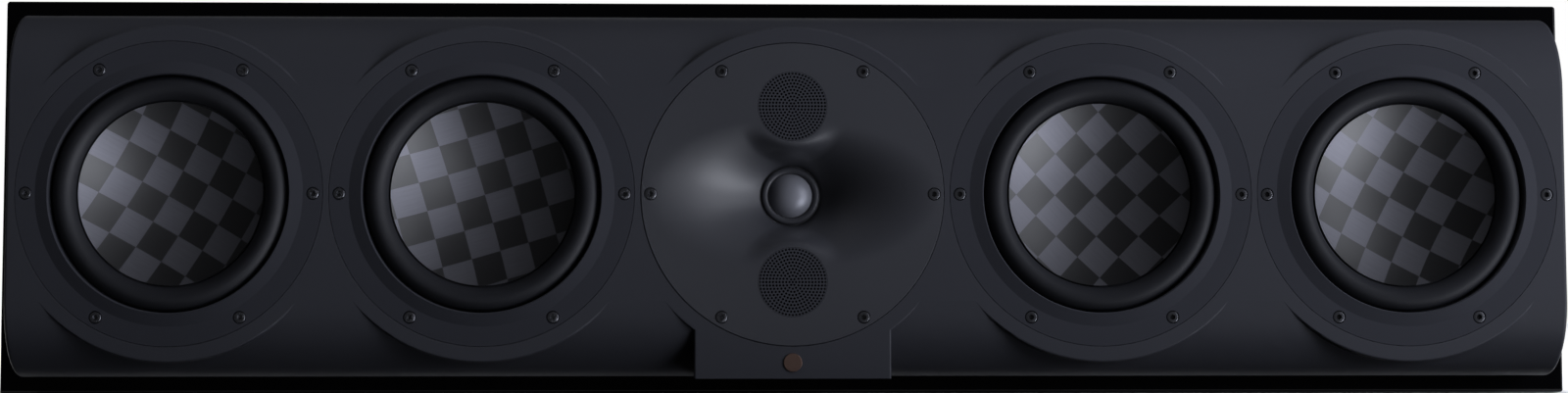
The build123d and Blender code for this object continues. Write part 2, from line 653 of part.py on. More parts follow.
def main():
    os.makedirs("parts", exist_ok=True)
    nodes = {
        "cabinet_shell": cabinet_shell(),
        "rear_panel": rear_panel(),
        "front_baffle": front() * front_baffle(),
        "waveguide_plate": front() * waveguide_plate(),
        "tweeter_dome": front() * dome(THROAT_Z, THROAT_RADIUS),
        "tweeter_motor": front() * dome_motor(THROAT_Z, THROAT_RADIUS + TWEETER_MOTOR_RIM),
        "badge": front(0, BADGE_HEIGHT - BAFFLE_HEIGHT / 2) * badge(),
        "crossover_board": crossover_board(),
        "crossover_inductors": Compound(crossover_inductors()),
        "crossover_capacitors": Compound(crossover_capacitors()),
    }
    for name, side in (("upper", 1), ("lower", -1)):
        place = front(0, side * MID_OFFSET)
        nodes[f"{name}_mid_grille"] = place * mid_grille()
        nodes[f"{name}_mid_dome"] = place * dome(-PLATE_BODY, MID_BORE)
        nodes[f"{name}_mid_motor"] = place * dome_motor(-PLATE_BODY, MID_BORE + MID_MOTOR_RIM)

    places = driver_places()
    woofers = places[: DRIVER_COUNT // 2] + places[DRIVER_COUNT // 2 + 1 :]
    pieces = {
        "frame": woofer_frame(),
        "cone": woofer_cone(),
        "surround": woofer_surround(),
        "spider": woofer_spider(),
        "voice_coil": woofer_coil(),
        "top_plate": woofer_top_plate(),
        "magnet": woofer_magnet(),
        "yoke": woofer_yoke(),
    }
    for number, x in enumerate(woofers, 1):
        for piece, solid in pieces.items():
            nodes[f"woofer_{number}_{piece}"] = front(x) * solid

    screw = driver_screw()
    screws = [front(x) * spot * screw for x in places for spot in PolarLocations(SCREW_RADIUS, SCREW_COUNT)]
    nodes["driver_screws"] = Compound(screws)

    for side, x in port_places().items():
        nodes[f"{side}_port"] = rear(x, AXIS_HEIGHT) * port()
        nodes[f"{side}_brace"] = Pos((x + x / 2) / 2) * window_brace()

    nuts = []
    for pole, x in post_places().items():
        nodes[f"{pole}_post"] = rear(x, POST_HEIGHT) * binding_post()
        nodes[f"{pole}_knob"] = rear(x, POST_HEIGHT) * post_knob()
        nuts.append(rear(x, POST_HEIGHT) * post_nut())
    nodes["post_nuts"] = Compound(nuts)

    for name, solid in nodes.items():
        export_step(solid, f"parts/{name}.step")


main()
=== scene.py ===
# %% [markdown]
# A center channel loudspeaker, dressed for its picture
# The solid model brings every piece at its real size. This lesson adds what a modeller would add by hand:
# carbon cones, rubber surrounds, an oval waveguide, finely drilled grilles, screws with sockets, and a finish
# for every surface.

# %% Load the solid model
import bpy
import json
from math import cos, pi, radians, sin, sqrt
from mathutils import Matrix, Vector
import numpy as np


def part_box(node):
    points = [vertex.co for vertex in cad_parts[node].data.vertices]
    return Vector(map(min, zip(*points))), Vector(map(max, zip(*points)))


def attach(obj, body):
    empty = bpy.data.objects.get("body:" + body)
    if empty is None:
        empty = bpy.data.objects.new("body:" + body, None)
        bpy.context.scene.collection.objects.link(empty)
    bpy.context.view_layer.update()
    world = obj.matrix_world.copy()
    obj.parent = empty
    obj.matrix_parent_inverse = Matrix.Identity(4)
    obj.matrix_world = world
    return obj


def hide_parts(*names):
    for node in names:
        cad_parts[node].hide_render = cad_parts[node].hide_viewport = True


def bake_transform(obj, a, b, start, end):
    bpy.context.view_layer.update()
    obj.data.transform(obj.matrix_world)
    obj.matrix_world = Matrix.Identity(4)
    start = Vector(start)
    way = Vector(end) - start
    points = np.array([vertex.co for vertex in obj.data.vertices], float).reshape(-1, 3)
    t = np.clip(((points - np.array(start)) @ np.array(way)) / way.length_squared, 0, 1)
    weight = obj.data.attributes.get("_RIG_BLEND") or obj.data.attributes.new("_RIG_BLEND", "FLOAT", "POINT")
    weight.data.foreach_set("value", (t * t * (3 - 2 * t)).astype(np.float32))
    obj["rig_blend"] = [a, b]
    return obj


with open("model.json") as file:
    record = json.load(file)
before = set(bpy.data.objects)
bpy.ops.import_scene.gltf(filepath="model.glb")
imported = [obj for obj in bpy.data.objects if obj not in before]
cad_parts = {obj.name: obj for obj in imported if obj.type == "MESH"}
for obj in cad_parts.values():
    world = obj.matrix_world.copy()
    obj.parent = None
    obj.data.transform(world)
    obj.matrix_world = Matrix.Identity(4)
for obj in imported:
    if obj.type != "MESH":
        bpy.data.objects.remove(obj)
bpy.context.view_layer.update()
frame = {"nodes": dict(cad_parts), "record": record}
MM = 0.001

# %% [markdown]
# Everything that stands on the front is placed from the solids. The plate of the middle unit lies flush with
# the flat front, so its lowest corner gives the front plane, and each unit's box gives the axis that it turns
# about.

# %% Places on the front
WOOFERS = (1, 2, 3, 4)
PLATE_LOW, PLATE_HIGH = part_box("waveguide_plate")
FRONT_Y = PLATE_LOW.y


def axis_of(node):
    """The point where a round piece's axis meets the flat front."""
    low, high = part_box(node)
    return ((low.x + high.x) / 2, FRONT_Y, (low.z + high.z) / 2)


WOOFER_AXES = {number: axis_of(f"woofer_{number}_frame") for number in WOOFERS}
MIDDLE_AXIS = axis_of("waveguide_plate")
print("front plane at", round(FRONT_Y, 4), "woofers at", [round(axis[0], 4) for axis in WOOFER_AXES.values()])

# %% [markdown]
# The camera stands a little left of the middle and lower than the row of units, as its vanishing lines show.
# The lens is slightly off the middle of the picture, and the shift stands for that.

# %% Camera
CAMERA_PLACE = (-0.0626, -1.3830, 0.0680)
CAMERA_TURN = (93.060, -0.001, -1.368)
CAMERA_LENS = 46.345
CAMERA_SENSOR = 36.0
CAMERA_SHIFT = (0.0309, -0.0138)
CLIP_START = 0.01

bpy.ops.object.camera_add(location=CAMERA_PLACE, rotation=[radians(angle) for angle in CAMERA_TURN])
camera = bpy.context.object
camera.name = "front_camera"
camera.data.sensor_width = CAMERA_SENSOR
camera.data.lens = CAMERA_LENS
camera.data.shift_x, camera.data.shift_y = CAMERA_SHIFT
camera.data.clip_start = CLIP_START
bpy.context.scene.camera = camera
bpy.context.scene.view_settings.view_transform = "Standard"
print("camera at", CAMERA_PLACE, "lens", CAMERA_LENS)

# %% [markdown]
# A few small habits of the hand come back on every piece: clear the selection, go into edit mode, draw an
# outline and spin it about the unit's axis, and at the end merge, shade and dress the piece.

# %% Helpers for modelling
SMOOTH_ANGLE = radians(32)
TURN_AXIS = (0, 1, 0)
NEAR = 1e-6


def clear_selection():
    if bpy.context.object and bpy.context.object.mode != "OBJECT":
        bpy.ops.object.mode_set(mode="OBJECT")
    bpy.ops.object.select_all(action="DESELECT")


def choose(piece):
    """Select this piece alone and make it the active one."""
    clear_selection()
    piece.select_set(True)
    bpy.context.view_layer.objects.active = piece


def edit_all(piece):
    """Go into edit mode on this piece alone, with everything selected."""
    choose(piece)
    bpy.ops.object.mode_set(mode="EDIT")
    bpy.context.tool_settings.mesh_select_mode = (True, False, False)
    bpy.ops.mesh.select_all(action="SELECT")


def close_mesh(piece):
    """Merge what lies in one place and turn all faces outwards."""
    edit_all(piece)
    bpy.ops.mesh.remove_doubles(threshold=NEAR)
    bpy.ops.mesh.normals_make_consistent(inside=False)
    bpy.ops.object.mode_set(mode="OBJECT")


def turned_piece(name, outline, axis, steps):
    """Spin an outline of (radius, height out of the front) points about a unit's axis."""
    clear_selection()
    bpy.ops.mesh.primitive_plane_add(size=MM)
    piece = bpy.context.object
    piece.name = name
    edit_all(piece)
    bpy.ops.mesh.merge(type="CENTER")
    places = [(axis[0] + radius, axis[1] - height, axis[2]) for radius, height in outline]
    here = (0.0, 0.0, 0.0)
    for index, place in enumerate(places):
        move = [there - start for there, start in zip(place, here)]
        if index == 0:
            bpy.ops.transform.translate(value=move)
        else:
            bpy.ops.mesh.extrude_vertices_move(TRANSFORM_OT_translate={"value": move})
        here = place
    bpy.ops.mesh.select_all(action="SELECT")
    bpy.ops.mesh.spin(steps=steps, angle=2 * pi, center=axis, axis=TURN_AXIS)
    close_mesh(piece)
    return piece


def shade(piece):
    choose(piece)
    bpy.ops.object.shade_smooth_by_angle(angle=SMOOTH_ANGLE)


def wear(piece, skin):
    """Give a new piece its finish."""
    piece.data.materials.clear()
    piece.data.materials.append(skin)


print("helpers ready")

# %% [markdown]
# Two surface effects come back on almost every finish. Fine grain is the tiny unevenness of paint, moulding
# and rubber: it feeds a bump and shifts the roughness a little. Cloudy film is the slow change over a hand's
# breadth that keeps a large black surface from looking like a flat fill. Both are node groups, so each finish
# sets only its own scale and depth.

# %% Shared shader groups
NOISE_MIDDLE = 0.5
FILM_SCALE = 7.0


def math_node(tree, operation, first, second=None, clamp=False):
    """A Math node in a tree, fed by outputs or plain numbers. Returns its output."""
    node = tree.nodes.new("ShaderNodeMath")
    node.operation = operation
    node.use_clamp = clamp
    for socket, source in zip(node.inputs, (first, second)):
        if isinstance(source, float):
            socket.default_value = source
        elif source is not None:
            tree.links.new(source, socket)
    return node.outputs[0]


def group_socket(group, name, way, kind="NodeSocketFloat", value=None):
    socket = group.interface.new_socket(name=name, in_out=way, socket_type=kind)
    if value is not None:
        socket.default_value = value


def noise_group(name, detail, roughness, scale):
    """A group that turns a place into a noise between 0 and 1, and the same centred on 0."""
    group = bpy.data.node_groups.new(name, "ShaderNodeTree")
    group_socket(group, "Vector", "INPUT", "NodeSocketVector")
    group_socket(group, "Scale", "INPUT", value=scale)
    group_socket(group, "Amount", "INPUT", value=1.0)
    group_socket(group, "Height", "OUTPUT")
    group_socket(group, "Shift", "OUTPUT")
    link = group.links.new
    entry = group.nodes.new("NodeGroupInput")
    leave = group.nodes.new("NodeGroupOutput")
    noise = group.nodes.new("ShaderNodeTexNoise")
    noise.inputs["Detail"].default_value = detail
    noise.inputs["Roughness"].default_value = roughness
    for given in ("Vector", "Scale"):
        link(entry.outputs[given], noise.inputs[given])
    centred = math_node(group, "SUBTRACT", noise.outputs["Fac"], NOISE_MIDDLE)
    link(noise.outputs["Fac"], leave.inputs["Height"])
    link(math_node(group, "MULTIPLY", centred, entry.outputs["Amount"]), leave.inputs["Shift"])
    return group


FINE_GRAIN = noise_group("fine_grain", detail=3.0, roughness=0.6, scale=900.0)
CLOUDY_FILM = noise_group("cloudy_film", detail=2.0, roughness=0.5, scale=FILM_SCALE)
print("groups:", FINE_GRAIN.name, CLOUDY_FILM.name)

# %% [markdown]
# Most finishes have the same skeleton: a base colour that drifts a little with the film, a roughness that
# drifts with both effects, and a bump from the grain. One function builds it, and each finish is a call with
# its own colour, gloss and grain. What is the same all over is set on the shader itself.

# %% The common finish
FINISHES = {}


def group_node(tree, group, place, scale, amount):
    """One of the two noise groups in a material, with its own scale and amount."""
    node = tree.nodes.new("ShaderNodeGroup")
    node.node_tree = group
    node.inputs["Scale"].default_value = scale
    node.inputs["Amount"].default_value = amount
    tree.links.new(place, node.inputs["Vector"])
    return node


def finish(name, colour, rough, drift=0.15, rough_drift=0.08, grain_scale=900.0, grain=0.06,
           grain_depth=2e-5, metal=0.0, specular=0.5, coat=0.0, coat_rough=0.1, sheen=0.0):
    """A painted, moulded or plain metal surface with grain and film."""
    material = bpy.data.materials.new(name)
    material.use_nodes = True
    tree = material.node_tree
    link = tree.links.new
    skin = tree.nodes["Principled BSDF"]
    skin.inputs["Metallic"].default_value = metal
    skin.inputs["Specular IOR Level"].default_value = specular
    skin.inputs["Coat Weight"].default_value = coat
    skin.inputs["Coat Roughness"].default_value = coat_rough
    skin.inputs["Sheen Weight"].default_value = sheen
    place = tree.nodes.new("ShaderNodeTexCoord").outputs["Object"]
    fine = group_node(tree, FINE_GRAIN, place, grain_scale, grain)
    film = group_node(tree, CLOUDY_FILM, place, FILM_SCALE, rough_drift)
    tint = tree.nodes.new("ShaderNodeMixRGB")
    tint.inputs["Color1"].default_value = [part * (1 - drift) for part in colour] + [1.0]
    tint.inputs["Color2"].default_value = [part * (1 + drift) for part in colour] + [1.0]
    link(film.outputs["Height"], tint.inputs["Fac"])
    link(tint.outputs["Color"], skin.inputs["Base Color"])
    shifts = math_node(tree, "ADD", fine.outputs["Shift"], film.outputs["Shift"])
    link(math_node(tree, "ADD", shifts, rough, clamp=True), skin.inputs["Roughness"])
    bump = tree.nodes.new("ShaderNodeBump")
    bump.inputs["Distance"].default_value = grain_depth
    link(fine.outputs["Height"], bump.inputs["Height"])
    link(bump.outputs["Normal"], skin.inputs["Normal"])
    FINISHES[name] = material
    return material


print("finish function ready")

# %% [markdown]
# The black surfaces of the front differ mostly in gloss. The cabinet is polished lacquer, the baffle and the
# woofer frames are satin paint, the waveguide is a smooth moulding, and the screws are oxide black.

# %% Black finishes of the front
finish("cabinet_lacquer", (0.0007, 0.0007, 0.0009), 0.06, rough_drift=0.02, grain=0.01, grain_depth=2e-6,
       specular=0.2, coat=0.1, coat_rough=0.03)
finish("baffle_satin", (0.0184, 0.0190, 0.0228), 0.48, rough_drift=0.05, grain_scale=1400.0, specular=0.24)
finish("frame_black", (0.0174, 0.0180, 0.0217), 0.60, rough_drift=0.05, grain_scale=1200.0, specular=0.06)
finish("waveguide_satin", (0.0168, 0.0174, 0.0210), 0.46, rough_drift=0.04, grain_scale=1600.0, grain=0.03,
       specular=0.80)
finish("grille_black", (0.0190, 0.0196, 0.0235), 0.50, grain_scale=2500.0, specular=0.25)
finish("screw_black", (0.1700, 0.1730, 0.1900), 0.27, grain_scale=3000.0, metal=0.95)
finish("surround_rubber", (0.0070, 0.0073, 0.0088), 0.54, rough_drift=0.06, grain_scale=1800.0, grain=0.05,
       specular=0.26)
finish("dome_grey", (0.140, 0.143, 0.162), 0.36, grain_scale=2500.0, grain=0.03, metal=0.35)
finish("roll_satin", (0.0240, 0.0246, 0.0285), 0.38, grain_scale=2500.0, grain=0.03)
# Painted shade: a near-black finish for the midrange domes, which lie in the dark behind their grilles.
finish("dome_dark", (0.0010, 0.0010, 0.0011), 0.60, grain_scale=2500.0, specular=0.15)
print("front finishes:", sorted(FINISHES))

# %% [markdown]
# Behind and inside, each material is still its own: textured port mouldings, gilt posts, red and black clamp
# rings, raw board, plated steel, sintered ferrite, dipped cloth, copper wire, a circuit board and wrapped
# capacitors.

# %% Finishes behind and inside
finish("inner_board", (0.30, 0.22, 0.15), 0.75, drift=0.25, grain_scale=500.0, grain_depth=8e-5)
finish("port_plastic", (0.012, 0.012, 0.013), 0.50, grain_scale=700.0, grain=0.12, grain_depth=6e-5)
finish("post_brass", (0.72, 0.50, 0.18), 0.22, grain_scale=1500.0, metal=1.0)
finish("knob_red", (0.36, 0.012, 0.012), 0.35, grain_scale=1500.0)
finish("knob_black", (0.010, 0.010, 0.011), 0.38, grain_scale=1500.0)
finish("motor_steel", (0.45, 0.45, 0.46), 0.34, grain_scale=1200.0, metal=1.0)
finish("magnet_ferrite", (0.05, 0.05, 0.055), 0.62, grain_scale=1000.0, grain_depth=8e-5)
finish("spider_cloth", (0.42, 0.30, 0.12), 0.80, grain_scale=1100.0, grain_depth=2e-4, sheen=0.2)
finish("coil_copper", (0.62, 0.28, 0.12), 0.35, grain_scale=1500.0, metal=1.0)
finish("board_green", (0.02, 0.12, 0.04), 0.45, drift=0.3, grain_scale=600.0)
finish("film_can", (0.24, 0.13, 0.02), 0.30, grain_scale=800.0)
finish("badge_bronze", (0.200, 0.130, 0.105), 0.45, grain_scale=2500.0, metal=0.9)
print("all finishes:", len(FINISHES))

# %% [markdown]
# The cones are spread-tow carbon: flat ribbons of fibre woven over and under, so the surface is a board of
# squares. In each square the fibres run one way or the other, and the light falls along or across them, so
# one half of the board is bright and the other dark. A group makes the squares and the streaks of fibre from
# a place that is already centred and turned.

# %% Carbon weave
TOW_WIDTH = 17.6 * MM
FIBRE_FINE = 2600.0
FIBRE_LONG = 60.0
FIBRE_DETAIL = 2.0
MID_CELL = 0.5


def weave_group():
    group = bpy.data.node_groups.new("spread_tow", "ShaderNodeTree")
    group_socket(group, "Vector", "INPUT", "NodeSocketVector")
    group_socket(group, "Width", "INPUT", value=TOW_WIDTH)
    group_socket(group, "Squares", "OUTPUT")
    group_socket(group, "Fibre", "OUTPUT")
    nodes = group.nodes
    link = group.links.new
    entry = nodes.new("NodeGroupInput")
    leave = nodes.new("NodeGroupOutput")
    split = nodes.new("ShaderNodeSeparateXYZ")
    link(entry.outputs["Vector"], split.inputs[0])

    cells = nodes.new("ShaderNodeCombineXYZ")
    for side, axis in (("X", "X"), ("Y", "Z")):
        link(math_node(group, "DIVIDE", split.outputs[axis], entry.outputs["Width"]), cells.inputs[side])
    cells.inputs["Z"].default_value = MID_CELL
    board = nodes.new("ShaderNodeTexChecker")
    board.inputs["Scale"].default_value = 1.0
    link(cells.outputs[0], board.inputs["Vector"])
    link(board.outputs["Fac"], leave.inputs["Squares"])

    fibre = nodes.new("ShaderNodeMix")
    link(board.outputs["Fac"], fibre.inputs["Factor"])
    for socket, (wide, tall) in (("A", (FIBRE_FINE, FIBRE_LONG)), ("B", (FIBRE_LONG, FIBRE_FINE))):
        run = nodes.new("ShaderNodeCombineXYZ")
        for axis, scale in (("X", wide), ("Z", tall)):
            link(math_node(group, "MULTIPLY", split.outputs[axis], scale), run.inputs[axis])
        streak = nodes.new("ShaderNodeTexNoise")
        streak.inputs["Scale"].default_value = 1.0
        streak.inputs["Detail"].default_value = FIBRE_DETAIL
        link(run.outputs[0], streak.inputs["Vector"])
        link(streak.outputs["Fac"], fibre.inputs[socket])
    link(fibre.outputs["Result"], leave.inputs["Fibre"])
    return group


SPREAD_TOW = weave_group()
print("weave group:", SPREAD_TOW.name)

# %% [markdown]
# Each cone was cut from the cloth at its own angle. The weave could be painted on each one, but a turned and
# shifted place in front of the same group does it exactly, so one function makes the carbon of any cone.

# %% Carbon for a cone
DARK_TOW = (0.0015, 0.0015, 0.0018)
LIGHT_TOW = (0.1500, 0.1500, 0.1690)
DARK_ROUGH, LIGHT_ROUGH = 0.46, 0.54
LIGHT_METAL = 0.93
TOW_SPECULAR = 1.0
STREAK_DARK, STREAK_LIGHT = 0.86, 1.14
STREAK_DEPTH = 5e-6


def ranged(tree, source, low, high):
    """Stretch a value between 0 and 1 to a new range."""
    node = tree.nodes.new("ShaderNodeMapRange")
    node.inputs["To Min"].default_value = low
    node.inputs["To Max"].default_value = high
    tree.links.new(source, node.inputs["Value"])
    return node.outputs["Result"]


def carbon(number, axis, turn, offset):
    """Carbon for one cone: squares turned by so many degrees clockwise, with a corner at the offset."""
    material = bpy.data.materials.new(f"cone_carbon_{number}")
    material.use_nodes = True
    tree = material.node_tree
    nodes = tree.nodes
    link = tree.links.new
    skin = nodes["Principled BSDF"]
    skin.inputs["Specular IOR Level"].default_value = TOW_SPECULAR
    place = nodes.new("ShaderNodeTexCoord")
    turned = nodes.new("ShaderNodeMapping")
    turned.vector_type = "TEXTURE"
    turned.inputs["Location"].default_value = (axis[0] + offset[0], axis[1], axis[2] + offset[1])
    turned.inputs["Rotation"].default_value = (0, radians(turn), 0)
    weave = nodes.new("ShaderNodeGroup")
    weave.node_tree = SPREAD_TOW
    link(place.outputs["Object"], turned.inputs["Vector"])
    link(turned.outputs["Vector"], weave.inputs["Vector"])
    squares, fibre = weave.outputs["Squares"], weave.outputs["Fibre"]

    tone = nodes.new("ShaderNodeMixRGB")
    tone.inputs["Color1"].default_value = (*DARK_TOW, 1.0)
    tone.inputs["Color2"].default_value = (*LIGHT_TOW, 1.0)
    link(squares, tone.inputs["Fac"])
    streaked = nodes.new("ShaderNodeVectorMath")
    streaked.operation = "SCALE"
    link(tone.outputs["Color"], streaked.inputs[0])
    link(ranged(tree, fibre, STREAK_DARK, STREAK_LIGHT), streaked.inputs["Scale"])
    link(streaked.outputs["Vector"], skin.inputs["Base Color"])

    link(ranged(tree, squares, DARK_ROUGH, LIGHT_ROUGH), skin.inputs["Roughness"])
    link(math_node(tree, "MULTIPLY", squares, LIGHT_METAL), skin.inputs["Metallic"])
    bump = nodes.new("ShaderNodeBump")
    bump.inputs["Distance"].default_value = STREAK_DEPTH
    link(fibre, bump.inputs["Height"])
    link(bump.outputs["Normal"], skin.inputs["Normal"])
    return material


print("carbon function ready")

# %% [markdown]
# A cone here is a shallow bowl without a dust cap. On a lathe it would be one turned outline, and it is the
# same here: the front arc from the axis to the rim, the rim's wall, and the back arc home, spun about the
# woofer's axis. The bowl's depth and rim come from the solid that it stands for.

# %% Cones
CONE_WALL = 1.2 * MM
CONE_RIM = (2.1 * MM, 2.6 * MM)
CONE_STEPS = (26, 14)
CONE_TURNS = {1: 29.5, 2: -16.5, 3: 45.0, 4: 29.5}
WEAVE_OFFSETS = {1: (-4.6 * MM, -1.0 * MM), 2: (0.0, 0.0), 3: (0.0, 0.0), 4: (-4.6 * MM, -1.0 * MM)}
TURN_STEPS = 128


def bowl(sphere, reach, centre, steps):
    """Points of a bowl's section, from the axis out to a reach, on a sphere about a centre height."""
    places = [reach * step / steps for step in range(steps + 1)]
    return [(out, centre - sqrt(sphere ** 2 - out ** 2)) for out in places]


def cone(number):
    low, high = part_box(f"woofer_{number}_cone")
    rim = (high.x - low.x) / 2
    rim_height = FRONT_Y - low.y
    dish = high.y - low.y - CONE_WALL
    sphere = (rim ** 2 + dish ** 2) / (2 * dish)
    centre = rim_height - dish + sphere
    rim_wide, rim_tall = CONE_RIM
    front = bowl(sphere, rim, centre, CONE_STEPS[0])
    back = bowl(sphere + CONE_WALL, rim - rim_wide, centre, CONE_STEPS[1])
    foot = [(rim, rim_height - rim_tall), (rim - rim_wide, rim_height - rim_tall)]
    piece = turned_piece(f"carbon_cone_{number}", front + foot + back[::-1], WOOFER_AXES[number], TURN_STEPS)
    shade(piece)
    weave = carbon(number, WOOFER_AXES[number], CONE_TURNS[number], WEAVE_OFFSETS[number])
    wear(piece, weave)
    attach(piece, f"woofer_{number}_moving")
    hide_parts(f"woofer_{number}_cone")
    return piece


for number in WOOFERS:
    print("cone", number, "faces", len(cone(number).data.polygons))

# %% [markdown]
# The surround is an oval roll of rubber with a flat lip on either side. It is glued to the cone inside and to
# the frame outside, so it has to stretch between two bodies. It is turned like the cone, and its blend
# weights are then set by radius, from the frame at the outer foot of the roll to the cone at the inner foot.

# %% Surrounds
RUBBER_WALL = 1.2 * MM
ROLL_GAPS = (0.9 * MM, 0.2 * MM)
ROLL_RISE = 8.5 * MM
ROLL_STEPS = (28, 14)
HALF_TURN = 180


def ease(share):
    """A soft step from 0 to 1."""
    share = min(max(share, 0.0), 1.0)
    return share * share * (3 - 2 * share)


def roll(crest, half, rise, start, end, steps):
    """Points over an oval roll that stands on a (radius, height) foot, from one angle to another."""
    angles = [radians(start + (end - start) * step / steps) for step in range(steps + 1)]
    return [(crest[0] + half * cos(angle), crest[1] + rise * sin(angle)) for angle in angles]


def surround(number):
    low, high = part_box(f"woofer_{number}_surround")
    cone_low, cone_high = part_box(f"woofer_{number}_cone")
    cone_rim = (cone_high.x - cone_low.x) / 2
    lip_out = (high.x - low.x) / 2
    lip_in = cone_rim - CONE_RIM[0]
    seat = FRONT_Y - high.y + RUBBER_WALL
    under = seat - RUBBER_WALL
    roll_in = cone_rim + ROLL_GAPS[0]
    roll_out = lip_out - ROLL_GAPS[1]
    crest = ((roll_in + roll_out) / 2, seat)
    half = (roll_out - roll_in) / 2
    outer = roll(crest, half, ROLL_RISE, HALF_TURN, 0, ROLL_STEPS[0])
    inner = roll(crest, half - RUBBER_WALL, ROLL_RISE - RUBBER_WALL, 0, HALF_TURN, ROLL_STEPS[1])
    outline = [(lip_in, seat)] + outer + [(lip_out, seat), (lip_out, under), (inner[0][0], under)]
    outline += inner + [(inner[-1][0], under), (lip_in, under), (lip_in, seat)]
    axis = WOOFER_AXES[number]
    piece = turned_piece(f"rubber_surround_{number}", outline, axis, TURN_STEPS)
    shade(piece)
    wear(piece, FINISHES["surround_rubber"])
    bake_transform(piece, "cabinet", f"woofer_{number}_moving",
             start=(axis[0] + lip_out, axis[1], axis[2]), end=axis)
    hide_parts(f"woofer_{number}_surround")
    weights = piece.data.attributes["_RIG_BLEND"]
    for vertex, weight in zip(piece.data.vertices, weights.data):
        out = sqrt((vertex.co.x - axis[0]) ** 2 + (vertex.co.z - axis[2]) ** 2)
        weight.value = ease((roll_out - out) / (roll_out - roll_in))
    return piece


for number in WOOFERS:
    print("surround", number, "faces", len(surround(number).data.polygons))

# %% [markdown]
# The plate of the middle unit is a moulding: a flat round flange, a thicker body behind it, and an oval horn
# that runs down to the tweeter. The two grilles stand on flat islands in the horn's upper and lower wall. A
# round plate with many rings is turned first, and the horn is then pressed into it: every ring's points go
# back by the depth of the horn at their place, on the front and behind. Stepped pins cut the seats of the
# grilles and the screw holes.

# %% Waveguide plate
HORN_MOUTH = (88.0 * MM, 45.0 * MM)
HORN_FLARE = 1.95
HORN_WALL = 4.5 * MM
THROAT_ROOM = 0.3 * MM
THROAT_STEP = 1.0 * MM
PLATE_FLANGE = (14.75 * MM, 6.0 * MM)
PLATE_BODY = 16.0 * MM
PLATE_EASE = 0.4 * MM
PLATE_STEPS = 160
PLATE_RINGS = (56, 30)
PIN_STEPS = 96
ISLAND_LAND = 0.5 * MM
GRILLE_SEAT = (0.15 * MM, 1.2 * MM)
SCREW_CIRCLE = 84.5 * MM
SCREWS_EACH = 6
SCREW_POCKET = (3.9 * MM, 3.5 * MM)
SCREW_HOLE = 2.25 * MM
CUT_OVER = 1.0 * MM


def cut_away(piece, cutter):
    """Boolean difference, applied, with the cutter thrown away."""
    choose(piece)
    cut = piece.modifiers.new("cut", "BOOLEAN")
    cut.operation = "DIFFERENCE"
    cut.solver = "EXACT"
    cut.object = cutter
    bpy.ops.object.modifier_apply(modifier=cut.name)
    bpy.data.objects.remove(cutter, do_unlink=True)


def copy_round(count, centre):
    """In edit mode, copy what is selected round an axis, until there are so many."""
    angle = 2 * pi * (count - 1) / count
    bpy.ops.mesh.spin(steps=count - 1, dupli=True, angle=angle, center=centre, axis=TURN_AXIS)


def stepped_pin(axis, wide, narrow, step, depth):
    """A cutter that is wide down to the step and narrow from there on."""
    outline = [(0.0, CUT_OVER), (wide, CUT_OVER), (wide, -step), (narrow, -step), (narrow, -depth)]
    return turned_piece("stepped_pin", outline + [(0.0, -depth)], axis, PIN_STEPS)


def rings(start, end, count, height):
    return [(start + (end - start) * step / count, height) for step in range(count + 1)]


def waveguide():
    dome_low, dome_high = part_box("tweeter_dome")
    throat = (dome_high.x - dome_low.x) / 2 + THROAT_ROOM
    bottom = PLATE_HIGH.y - FRONT_Y
    rim = (PLATE_HIGH.x - PLATE_LOW.x) / 2
    flange_wide, flange_deep = PLATE_FLANGE
    body = rim - flange_wide
    grilles = [(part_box(name), axis_of(name)) for name in ("upper_mid_grille", "lower_mid_grille")]

    def horn_depth(x, z):
        out = sqrt(x * x + z * z)
        mouth = 1 / sqrt((x / out / HORN_MOUTH[0]) ** 2 + (z / out / HORN_MOUTH[1]) ** 2)
        share = min(max((out - throat) / (mouth - throat), 0.0), 1.0)
        depth = (bottom - THROAT_STEP) * (1 - share) ** HORN_FLARE
        for (low, high), axis in grilles:
            land = (high.x - low.x) / 2 + ISLAND_LAND
            offset = axis[2] - MIDDLE_AXIS[2]
            apart = sqrt(x * x + (z - offset) ** 2)
            depth *= ease((apart - land) / (abs(offset) - throat - land))
        return depth

    outline = rings(throat, rim - PLATE_EASE, PLATE_RINGS[0], 0.0)
    outline += [(rim, -PLATE_EASE), (rim, -flange_deep), (body, -flange_deep)]
    outline += rings(body, throat + HORN_WALL, PLATE_RINGS[1], -PLATE_BODY)
    outline += [(throat, -bottom), (throat, 0.0)]
    piece = turned_piece("oval_waveguide", outline, MIDDLE_AXIS, PLATE_STEPS)
    for vertex in piece.data.vertices:
        depth = horn_depth(vertex.co.x - MIDDLE_AXIS[0], vertex.co.z - MIDDLE_AXIS[2])
        if abs(vertex.co.y - FRONT_Y) < NEAR:
            vertex.co.y += depth
        elif abs(vertex.co.y - FRONT_Y - PLATE_BODY) < NEAR:
            vertex.co.y = FRONT_Y + min(max(PLATE_BODY, depth + HORN_WALL), bottom)

    gap, seat_deep = GRILLE_SEAT
    for (low, high), axis in grilles:
        radius = (high.x - low.x) / 2
        cut_away(piece, stepped_pin(axis, radius + gap, radius - seat_deep, seat_deep, PLATE_BODY + CUT_OVER))
    first = (MIDDLE_AXIS[0] - SCREW_CIRCLE, MIDDLE_AXIS[1], MIDDLE_AXIS[2])
    pins = stepped_pin(first, SCREW_POCKET[0], SCREW_HOLE, SCREW_POCKET[1], flange_deep + CUT_OVER)
    edit_all(pins)
    copy_round(SCREWS_EACH, MIDDLE_AXIS)
    bpy.ops.object.mode_set(mode="OBJECT")
    cut_away(piece, pins)
    close_mesh(piece)
    shade(piece)
    wear(piece, FINISHES["waveguide_satin"])
    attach(piece, "cabinet")
    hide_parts("waveguide_plate")
    return piece


print("waveguide faces", len(waveguide().data.polygons))

